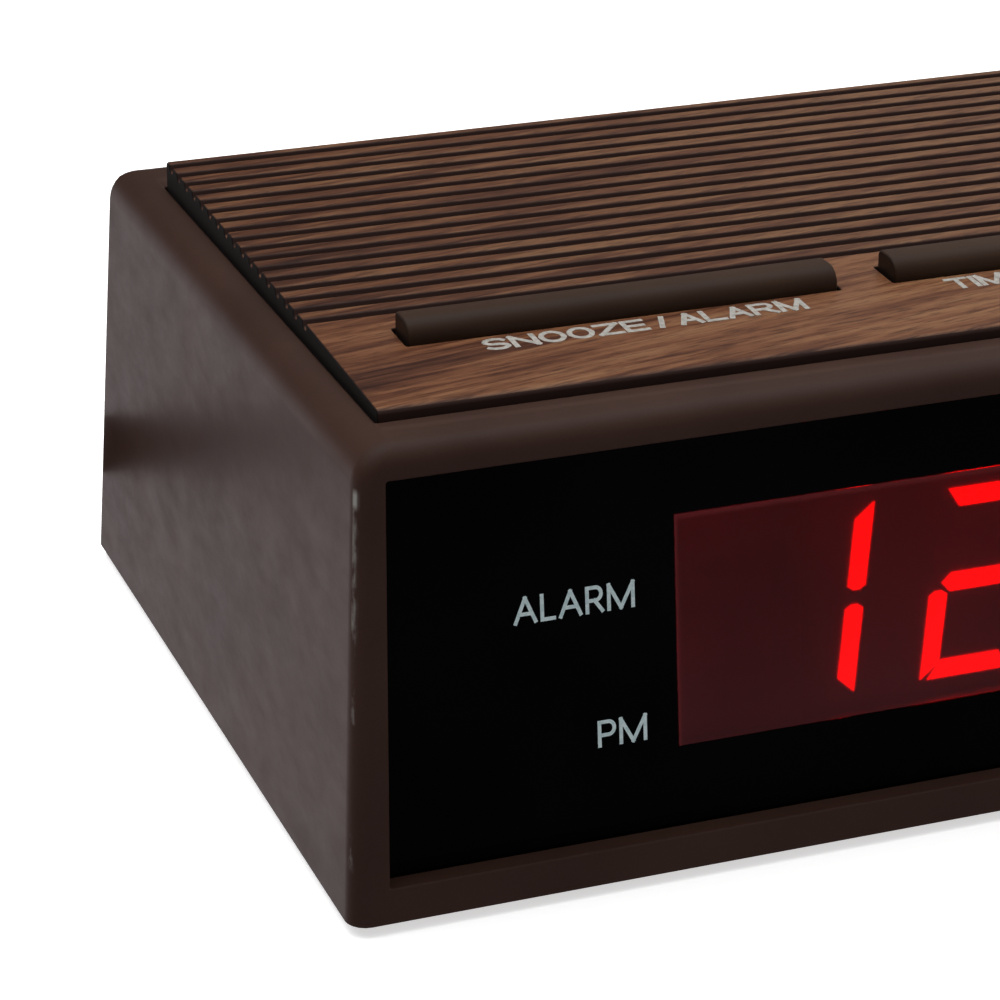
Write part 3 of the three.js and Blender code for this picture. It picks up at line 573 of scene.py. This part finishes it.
def plates(name, outlines, depth, thickness, material, place=FRONT_FRAME, edge=0.06):
    """Thin raised plates from outlines in (x, z) mm of a printed face's frame, at a depth into it."""
    step = 0.001  # each stands this much prouder than the last, so that no two faces coincide
    work = bmesh.new()
    for number, outline in enumerate(outlines):
        corners = [work.verts.new((x * MM, depth * MM, z * MM)) for x, z in outline]
        face = work.faces.new(corners)
        raised = bmesh.ops.extrude_face_region(work, geom=[face])["geom"]
        moved = [v for v in raised if isinstance(v, bmesh.types.BMVert)]
        bmesh.ops.translate(work, verts=moved, vec=(0, -(thickness + step * number) * MM, 0))
    bmesh.ops.recalc_face_normals(work, faces=work.faces)
    mesh = mesh_from(work, name)
    mesh.transform(place)
    if edge:
        mesh = with_modifiers(mesh, ("BEVEL", {"width": edge * MM, "segments": 2, "limit_method": "ANGLE"}))
    new_piece(name, mesh, material, CASE)


# ---------------------------------------------------------------- CAD nodes that keep their shape
for name, node in NODES.items():
    paint(node, MATERIALS[SLOT_OF[name]])

# ---------------------------------------------------------------- mouldings with rounded edges
refined("cabinet", 0.25, 2, most_corners=4)
refined("woodgrain_top_panel", 0.4, 4, sharper_than=30, clamp=True)
for key in ("snooze_alarm_key", "time_key", "fast_key", "slow_key"):
    refined(key, 0.3, 3)

# ---------------------------------------------------------------- digits, in mm in the front frame
DIGITS = (("1", -34.9), ("2", -14.75), ("0", 6.2), ("0", 25.4))  # what is shown, and its left edge
SEGMENTS_OF = {"0": "abcdef", "1": "bc", "2": "abged"}
DIGIT_WIDTH = 12.0
DIGIT_HEIGHT = 22.0
DIGIT_LOW = 15.05
SLANT = 0.122  # to the right per mm up
SEGMENT = 2.15  # a segment's width
GAP = 0.3
MIDDLE = DIGIT_HEIGHT / 2 + 0.15
END_OUTER, END_INNER = 0.1, 1.9  # from the digit's end to an upright's outer and inner corners
NOSE_START, NOSE_TIP = 1.3, 0.85  # from the middle to where an upright narrows, and to its tip
COLON_HEIGHTS = (6.6, 15.4)
COLON_X = 1.7
COLON_RADIUS = 1.2
SEGMENT_DEPTH = 6.15
LIT_THICKNESS, UNLIT_THICKNESS = 0.3, 0.2


def segment_outline(letter):
    """Corners of one segment of an upright digit, with mitred ends."""
    t = SEGMENT
    if letter in "bcef":
        side, inward = (DIGIT_WIDTH, -1) if letter in "bc" else (0, 1)
        end, to_middle = (DIGIT_HEIGHT, -1) if letter in "bf" else (0, 1)
        nose = MIDDLE - to_middle * NOSE_START
        tip = MIDDLE - to_middle * NOSE_TIP
        return [
            (side, end + to_middle * END_OUTER), (side + inward * t, end + to_middle * END_INNER),
            (side + inward * t, nose), (side + inward * t * 0.68, tip),
            (side + inward * t * 0.32, tip), (side, nose),
        ]
    if letter in "ad":
        end, inward = (DIGIT_HEIGHT, -1) if letter == "a" else (0, 1)
        outer, inner = GAP + 0.6, GAP + t
        return [
            (outer, end), (DIGIT_WIDTH - outer, end),
            (DIGIT_WIDTH - inner, end + inward * t), (inner, end + inward * t),
        ]
    point, shoulder = GAP + t / 2, GAP + t
    return [
        (point, MIDDLE), (shoulder, MIDDLE + t / 2), (DIGIT_WIDTH - shoulder, MIDDLE + t / 2),
        (DIGIT_WIDTH - point, MIDDLE), (DIGIT_WIDTH - shoulder, MIDDLE - t / 2), (shoulder, MIDDLE - t / 2),
    ]


# The first digit is never more than a 1, so it has only two segments.
lit, unlit = [], []
for shown, left in DIGITS:
    for letter in "bc" if shown == "1" else "abcdefg":
        outline = [(left + x + y * SLANT, DIGIT_LOW + y) for x, y in segment_outline(letter)]
        (lit if letter in SEGMENTS_OF[shown] else unlit).append(outline)
for height in COLON_HEIGHTS:
    middle = COLON_X + height * SLANT
    angles = [step * math.pi / 8 for step in range(16)]
    lit.append([
        (middle + COLON_RADIUS * math.cos(a), DIGIT_LOW + height + COLON_RADIUS * math.sin(a)) for a in angles
    ])
plates("lit_segments", lit, SEGMENT_DEPTH, LIT_THICKNESS, LIT)
plates("unlit_segments", unlit, SEGMENT_DEPTH, UNLIT_THICKNESS, UNLIT)


# ---------------------------------------------------------------- printed words
def arc(across, up, reach, rise, start, end, steps=10):
    """Points on an ellipse about (across, up), from one angle to another in degrees."""
    angles = [math.radians(start + (end - start) * i / steps) for i in range(steps + 1)]
    return [(across + reach * math.cos(a), up + rise * math.sin(a)) for a in angles]


# Middle lines of the pen strokes of each capital, in a box one wide and one high.
STROKES = {
    "A": [[(0, 0), (0.5, 1)], [(0.5, 1), (1, 0)], [(0.2, 0.34), (0.8, 0.34)]],
    "E": [[(1, 1), (0, 1), (0, 0), (1, 0)], [(0, 0.5), (0.9, 0.5)]],
    "F": [[(1, 1), (0, 1), (0, 0)], [(0, 0.5), (0.88, 0.5)]],
    "I": [[(0.5, 0), (0.5, 1)]],
    "L": [[(0, 1), (0, 0), (1, 0)]],
    "M": [[(0, 0), (0, 1)], [(0, 1), (0.5, 0)], [(0.5, 0), (1, 1)], [(1, 1), (1, 0)]],
    "N": [[(0, 0), (0, 1)], [(0, 1), (1, 0)], [(1, 0), (1, 1)]],
    "O": [arc(0.5, 0.5, 0.5, 0.5, 0, 180), arc(0.5, 0.5, 0.5, 0.5, 180, 360)],
    "P": [
        [(0, 0), (0, 1)],
        [(0.04, 1), (0.6, 1), *arc(0.62, 0.72, 0.38, 0.28, 80, -80), (0.6, 0.44), (0.04, 0.44)],
    ],
    "R": [
        [(0, 0), (0, 1)],
        [(0.04, 1), (0.55, 1), *arc(0.57, 0.73, 0.36, 0.27, 80, -80), (0.55, 0.46), (0.04, 0.46)],
        [(0.5, 0.46), (1, 0)],
    ],
    "S": [arc(0.5, 0.74, 0.48, 0.26, 25, 270) + arc(0.5, 0.24, 0.5, 0.24, 72, -155)],
    "T": [[(0, 1), (1, 1)], [(0.5, 1), (0.5, 0)]],
    "W": [[(0, 1), (0.25, 0)], [(0.25, 0), (0.5, 1)], [(0.5, 1), (0.75, 0)], [(0.75, 0), (1, 1)]],
    "Z": [[(0, 1), (1, 1)], [(1, 1), (0, 0)], [(0, 0), (1, 0)]],
    "/": [[(0, 0), (1, 1)]],
    " ": [],
}
# cap, pen and depth are in mm. widths and gap are in proportion: they are stretched to fill a word's length.
PANEL_PRINT = {
    "cap": 3.1, "pen": 0.42, "gap": 0.11, "place": FRONT_FRAME, "depth": 3.3,
    "widths": {"A": 0.84, "L": 0.55, "R": 0.67, "M": 1, "P": 0.66},
    "material": PALE_INK, "slot": "front_gloss",
}
TOP_PRINT = {
    "cap": 3.2, "pen": 0.62, "gap": 0.06, "place": TOP_FRAME, "depth": 0,
    "widths": {
        "A": 0.92, "E": 0.9, "F": 0.84, "I": 0.16, "L": 0.84, "M": 1.08, "N": 1, "O": 1, "R": 0.98, "S": 0.95,
        "T": 0.9, "W": 1.3, "Z": 0.98, "/": 0.46, " ": 0.23,
    },
    "material": WHITE_INK, "slot": "walnut_film",
}
INK_THICKNESS = 0.02
TOP_BASE = 11.05


def band(line, thick):
    """Outline of an even band along a line of points, with square ends."""
    points = [Vector(point) for point in line]
    points[0] += (points[0] - points[1]).normalized() * thick / 2
    points[-1] += (points[-1] - points[-2]).normalized() * thick / 2
    steps = [(b - a).normalized() for a, b in zip(points, points[1:])]
    left, right = [], []
    for at, before, after in zip(points, [steps[0], *steps], [*steps, steps[-1]]):
        along = (before + after).normalized()
        out = Vector((-along.y, along.x)) * thick / 2 / max(along.dot(after), 0.6)
        left.append(at + out)
        right.append(at - out)
    return [tuple(corner) for corner in left + right[::-1]]


def words(text, left, right, base, cap, pen, gap, widths, place, depth, material, slot):
    """Capitals drawn with a pen of even width on a base line, from left to right in a printed face's frame."""
    stretch = (right - left) / (sum(widths[letter] for letter in text) + gap * (len(text) - 1))
    outlines = []
    for letter in text:
        wide = widths[letter] * stretch
        for line in STROKES[letter]:
            inside = [(left + pen / 2 + x * (wide - pen), base + pen / 2 + z * (cap - pen)) for x, z in line]
            outlines.append(band(inside, pen))
        left += wide + gap * stretch
    name = text.lower().replace(" / ", "_") + "_label"
    plates(name, outlines, depth, INK_THICKNESS, material, place, edge=0)


words("ALARM", -63.36, -49.57, 29.97, **PANEL_PRINT)
words("PM", -54.25, -48.53, 14.57, **PANEL_PRINT)
words("SNOOZE / ALARM", -59.7, -21.7, TOP_BASE, **TOP_PRINT)
words("TIME", -3.9, 6.3, TOP_BASE, **TOP_PRINT)
words("FAST", 23.1, 35, TOP_BASE, **TOP_PRINT)
words("SLOW", 50.1, 63.7, TOP_BASE, **TOP_PRINT)

# ---------------------------------------------------------------- return springs
COIL_RADIUS = 2.0 * MM
WIRE_RADIUS = 0.26 * MM
TURNS = 7
STEPS_A_TURN = 18
WIRE_SIDES = 8


def coil(name, middle, low, high):
    """A compression spring as a smooth mesh tube, standing between two heights."""
    up = Vector((0, 0, 1))
    steps = TURNS * STEPS_A_TURN
    sides = [2 * math.pi * k / WIRE_SIDES for k in range(WIRE_SIDES)]
    work = bmesh.new()
    rings = []
    for share in [i / steps for i in range(steps + 1)]:
        angle = 2 * math.pi * TURNS * share
        outward = Vector((math.cos(angle), math.sin(angle), 0))
        level = low + WIRE_RADIUS + (high - low - 2 * WIRE_RADIUS) * share
        centre = Vector((middle.x, middle.y, level)) + outward * COIL_RADIUS
        rings.append([
            work.verts.new(centre + (outward * math.cos(a) + up * math.sin(a)) * WIRE_RADIUS) for a in sides
        ])
    for a, b in zip(rings, rings[1:]):
        for k in range(WIRE_SIDES):
            after = (k + 1) % WIRE_SIDES
            work.faces.new((a[k], a[after], b[after], b[k]))
    work.faces.new(rings[0])
    work.faces.new(rings[-1][::-1])
    bmesh.ops.recalc_face_normals(work, faces=work.faces)
    mesh = mesh_from(work, name)
    shade_smooth(mesh)
    return new_piece(name, mesh, MATERIALS["spring_steel"], CASE)


for joint in frame["joints"]:
    for entry in joint.get("deforming_nodes", []):
        low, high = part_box(entry["node"])
        middle = (low + high) / 2
        piece = coil(entry["node"] + "_wire", middle, low.z, high.z)
        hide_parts(entry["node"])
        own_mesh(piece)

# ---------------------------------------------------------------- stage
bpy.ops.mesh.primitive_plane_add(size=8, location=(0, 0, 0))
floor = bpy.context.object
floor.name = "floor"
floor_material, *_ = principled(
    "floor", Base_Color=(0.9, 0.9, 0.9, 1), Roughness=0.8, Specular_IOR_Level=0.1,
    Emission_Color=(1, 1, 1, 1), Emission_Strength=0.6)
paint(floor, floor_material)
floor.visible_glossy = floor.visible_diffuse = floor.visible_shadow = False

# A dark flag close behind the left edge, seen only as a soft dark reflection in the side wall.
FLAG_Y = 0.0555
FLAG_LEFT, FLAG_RIGHT = -0.125, -0.0835
FLAG_LOW, FLAG_HIGH = 0.0105, 0.0185
flag_corners = [
    (FLAG_LEFT, FLAG_Y, FLAG_LOW), (FLAG_RIGHT, FLAG_Y, FLAG_LOW),
    (FLAG_RIGHT, FLAG_Y, FLAG_HIGH), (FLAG_LEFT, FLAG_Y, FLAG_HIGH),
]
flag_mesh = bpy.data.meshes.new("flag")
flag_mesh.from_pydata(flag_corners, [], [(0, 1, 2, 3)])
flag = bpy.data.objects.new("flag", flag_mesh)
bpy.context.collection.objects.link(flag)
flag_material, flag_tree, flag_shader = principled("flag", Roughness=1.0, Specular_IOR_Level=0.0)
cloth = noise(flag_tree, place_in(flag_tree), 400, 2)
drive(flag_tree, flag_shader, Base_Color=ramp(flag_tree, cloth, (0.3, rgb(6, 4, 4)), (0.7, rgb(12, 8, 8))))
paint(flag, flag_material)
flag.visible_camera = flag.visible_diffuse = flag.visible_shadow = False

# ---------------------------------------------------------------- light
# A big softbox above and behind, a faint backdrop to the right, and a table that gets paler to the rear.
SOFTBOX_LIGHT, SOFTBOX_REFLECTED = 4.0, 0.35
TABLE_LIGHT = (0.58, 0.56, 0.58, 1)
TABLE_REFLECTED = (1, 0.91, 0.94, 1)
BLACK = (0, 0, 0, 1)
SEEN_BEHIND = (0.99, 0.99, 0.99, 1)

world = bpy.data.worlds.new("studio")
bpy.context.scene.world = world
world.use_nodes = True
sky = world.node_tree
background = sky.nodes["Background"]
background.inputs["Strength"].default_value = 1.0
toward = axes_of(sky, "Generated")
path = add(sky, "LightPath").outputs

overhead = mapped(sky, toward["Z"], 0.5, 0.88, 0, 1)
from_behind = mapped(sky, toward["Y"], -0.4, 0.45, 0.1, 1)
strength = mapped(sky, path["Is Glossy Ray"], 0, 1, SOFTBOX_LIGHT, SOFTBOX_REFLECTED)
softbox = times(sky, times(sky, overhead, from_behind), strength)
backdrop = mapped(sky, toward["X"], 0.28, 0.50, 0.03, 0.22)
above = plus(sky, backdrop, softbox)

paler_to_the_rear = plus(sky, 0.02, times(sky, mapped(sky, toward["Y"], 0.0, 0.7, 0, 1), 0.66))
table_reflected = mixed(sky, paler_to_the_rear, BLACK, TABLE_REFLECTED)
below = mixed(sky, path["Is Glossy Ray"], TABLE_LIGHT, table_reflected)

around = mixed(sky, mapped(sky, toward["Z"], -0.05, 0.05, 0, 1), below, above)
sky.links.new(mixed(sky, path["Is Camera Ray"], around, SEEN_BEHIND), background.inputs["Color"])
